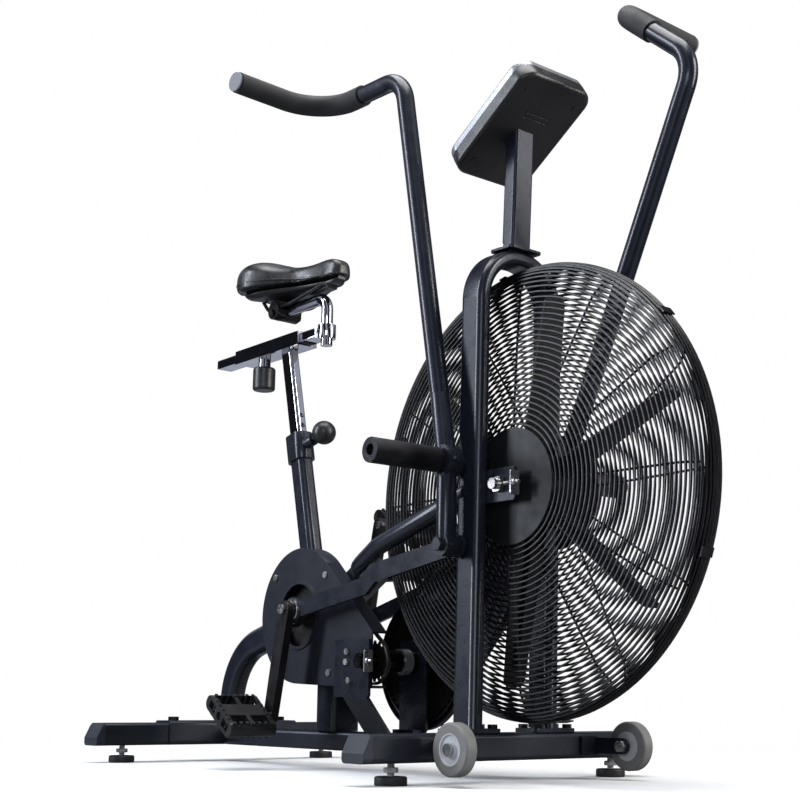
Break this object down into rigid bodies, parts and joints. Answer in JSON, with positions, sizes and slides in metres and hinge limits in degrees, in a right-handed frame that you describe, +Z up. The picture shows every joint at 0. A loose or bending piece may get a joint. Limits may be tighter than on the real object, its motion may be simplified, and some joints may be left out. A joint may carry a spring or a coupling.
{
  "type": "air bike",
  "caption": "Upright fan exercise bike with a large wire fan cage, swinging arm handles linked to the cranks, pedals, foot pegs, adjustable saddle and console.",
  "frame": {"origin": "centre of the footprint box on the floor, under the levelling feet", "axes": "+X from the saddle towards the fan, +Y to the rider's left, +Z up"},
  "size_m": [1.2677, 0.601, 1.2438],
  "materials": {
    "powder_coat": "satin powder coat",
    "cap_plastic": "matt",
    "foot_rubber": "matt",
    "bolt_steel": "zinc plated",
    "cage_wire": "gloss coat",
    "fan_sheet": "satin",
    "chain_steel": "oiled",
    "cover_plastic": "satin",
    "console_plastic": "satin",
    "console_trim": "silver",
    "screen": "gloss",
    "button_rubber": "matt",
    "crank_steel": "black",
    "pin_steel": "machined",
    "pedal_plastic": "satin",
    "grip_foam": "matt foam",
    "bright_chrome": "polished",
    "wheel_tyre": "matt",
    "knob_plastic": "satin",
    "saddle_cover": "smooth vinyl",
    "saddle_base": "matt",
    "peg_alloy": "black anodised",
    "hub_chrome": "polished"
  },
  "bodies": {
    "frame": {"rear_stabiliser": "powder_coat", "front_stabiliser": "powder_coat", "end_caps": "cap_plastic", "levelling_feet": "foot_rubber", "base_rail": "powder_coat", "frame_bolts": "bolt_steel", "centre_post": "powder_coat", "rear_arch": "powder_coat", "seat_tube": "powder_coat", "bottom_bracket": "powder_coat", "upper_frame": "powder_coat", "fan_yoke": "powder_coat", "pivot_shafts": "pin_steel", "foot_pegs": "peg_alloy", "axle_brackets": "powder_coat", "cage_right": "cage_wire", "cage_left": "cage_wire", "cage_discs": "fan_sheet", "cage_clips": "fan_sheet", "chains": "chain_steel", "jack_brackets": "powder_coat", "chain_cover_right": "cover_plastic", "chain_guard_left": "cover_plastic", "console_back": "console_plastic", "console_front": "console_trim", "console_screen": "screen", "console_post": "powder_coat"},
    "crank": {"crank_spindle": "pin_steel", "chainring": "crank_steel", "crank_arms": "crank_steel", "crank_pins": "pin_steel"},
    "pedal_right_body": {"pedal_right": "pedal_plastic"},
    "pedal_left_body": {"pedal_left": "pedal_plastic"},
    "rod_right": {"push_rod_right": "powder_coat"},
    "rod_left": {"push_rod_left": "powder_coat"},
    "handle_right": {"handle_arm_right": "powder_coat", "handle_tube_right": "powder_coat", "handle_grip_right": "grip_foam"},
    "handle_left": {"handle_arm_left": "powder_coat", "handle_tube_left": "powder_coat", "handle_grip_left": "grip_foam"},
    "jack": {"jack_shaft": "hub_chrome", "jack_sprockets": "crank_steel"},
    "fan": {"fan_axle": "pin_steel", "fan_hub": "fan_sheet", "fan_blades": "fan_sheet"},
    "wheel_right_body": {"wheel_right": "wheel_tyre"},
    "wheel_left_body": {"wheel_left": "wheel_tyre"},
    "post": {"seat_post": "bright_chrome", "slider_carriage": "bright_chrome"},
    "post_pin": {"seat_pull_pin": "knob_plastic"},
    "saddle": {"saddle_slider": "bright_chrome", "saddle_clamp": "bolt_steel", "saddle_rails": "bolt_steel", "saddle_shell": "saddle_base", "saddle_pad": "saddle_cover"},
    "slider_pin": {"slider_pull_pin": "knob_plastic"},
    "button_1": {"console_button_1": "button_rubber"},
    "button_2": {"console_button_2": "button_rubber"},
    "button_3": {"console_button_3": "button_rubber"}
  },
  "joints": [
    {"name": "handle_right_swing", "type": "hinge", "parent": "frame", "child": "handle_right", "pos_m": [0.219, -0.117, 0.469], "axis": [0, 1, 0], "range_deg": [0, 38.5]},
    {"name": "handle_left_swing", "type": "hinge", "parent": "frame", "child": "handle_left", "pos_m": [0.219, 0.117, 0.469], "axis": [0, 1, 0], "range_deg": [-38.5, 0]},
    {"name": "crank_spin", "type": "hinge", "parent": "frame", "child": "crank", "pos_m": [-0.245, 0, 0.26], "axis": [0, 1, 0], "continuous": true},
    {"name": "rod_right_turn", "type": "hinge", "parent": "crank", "child": "rod_right", "pos_m": [-0.21039, -0.096, 0.26619], "axis": [0, 1, 0], "continuous": true},
    {"name": "rod_left_turn", "type": "hinge", "parent": "crank", "child": "rod_left", "pos_m": [-0.27961, 0.096, 0.25381], "axis": [0, 1, 0], "continuous": true},
    {"name": "pedal_right_spin", "type": "hinge", "parent": "crank", "child": "pedal_right_body", "pos_m": [-0.249, -0.17, 0.087], "axis": [0, 1, 0], "continuous": true},
    {"name": "pedal_left_spin", "type": "hinge", "parent": "crank", "child": "pedal_left_body", "pos_m": [-0.241, 0.17, 0.433], "axis": [0, 1, 0], "continuous": true},
    {"name": "jack_spin", "type": "hinge", "parent": "frame", "child": "jack", "pos_m": [-0.044, 0, 0.178], "axis": [0, 1, 0], "continuous": true},
    {"name": "fan_spin", "type": "hinge", "parent": "frame", "child": "fan", "pos_m": [0.2865, 0, 0.431], "axis": [0, 1, 0], "continuous": true},
    {"name": "wheel_right_spin", "type": "hinge", "parent": "frame", "child": "wheel_right_body", "pos_m": [0.313, -0.177, 0.05], "axis": [0, 1, 0], "continuous": true},
    {"name": "wheel_left_spin", "type": "hinge", "parent": "frame", "child": "wheel_left_body", "pos_m": [0.313, 0.177, 0.05], "axis": [0, 1, 0], "continuous": true},
    {"name": "seat_height", "type": "slide", "parent": "frame", "child": "post", "axis": [-0.2275, 0, 0.9738], "range_m": [-0.12, 0.03]},
    {"name": "seat_pin_pull", "type": "slide", "parent": "frame", "child": "post_pin", "axis": [0.9738, 0, 0.2275], "range_m": [0, 0.01], "stiffness_N_per_m": 400},
    {"name": "saddle_fore_aft", "type": "slide", "parent": "post", "child": "saddle", "axis": [1, 0, 0], "range_m": [-0.04, 0.05]},
    {"name": "slider_pin_pull", "type": "slide", "parent": "post", "child": "slider_pin", "axis": [0, 0, -1], "range_m": [0, 0.01], "stiffness_N_per_m": 400},
    {"name": "button_1_press", "type": "slide", "parent": "frame", "child": "button_1", "axis": [0.5299, 0, -0.848], "range_m": [0, 0.0016], "stiffness_N_per_m": 300},
    {"name": "button_2_press", "type": "slide", "parent": "frame", "child": "button_2", "axis": [0.5299, 0, -0.848], "range_m": [0, 0.0016], "stiffness_N_per_m": 300},
    {"name": "button_3_press", "type": "slide", "parent": "frame", "child": "button_3", "axis": [0.5299, 0, -0.848], "range_m": [0, 0.0016], "stiffness_N_per_m": 300}
  ],
  "couplings": [
    {"joint": "handle_left_swing", "follows": "handle_right_swing", "ratio": -1},
    {"joint": "crank_spin", "follows": "handle_right_swing", "ratio": 4.6753},
    {"joint": "rod_right_turn", "follows": "handle_right_swing", "ratio": -4.8147},
    {"joint": "rod_left_turn", "follows": "handle_right_swing", "ratio": -4.536},
    {"joint": "jack_spin", "follows": "handle_right_swing", "ratio": 12.857},
    {"joint": "fan_spin", "follows": "handle_right_swing", "ratio": 44.082}
  ]
}
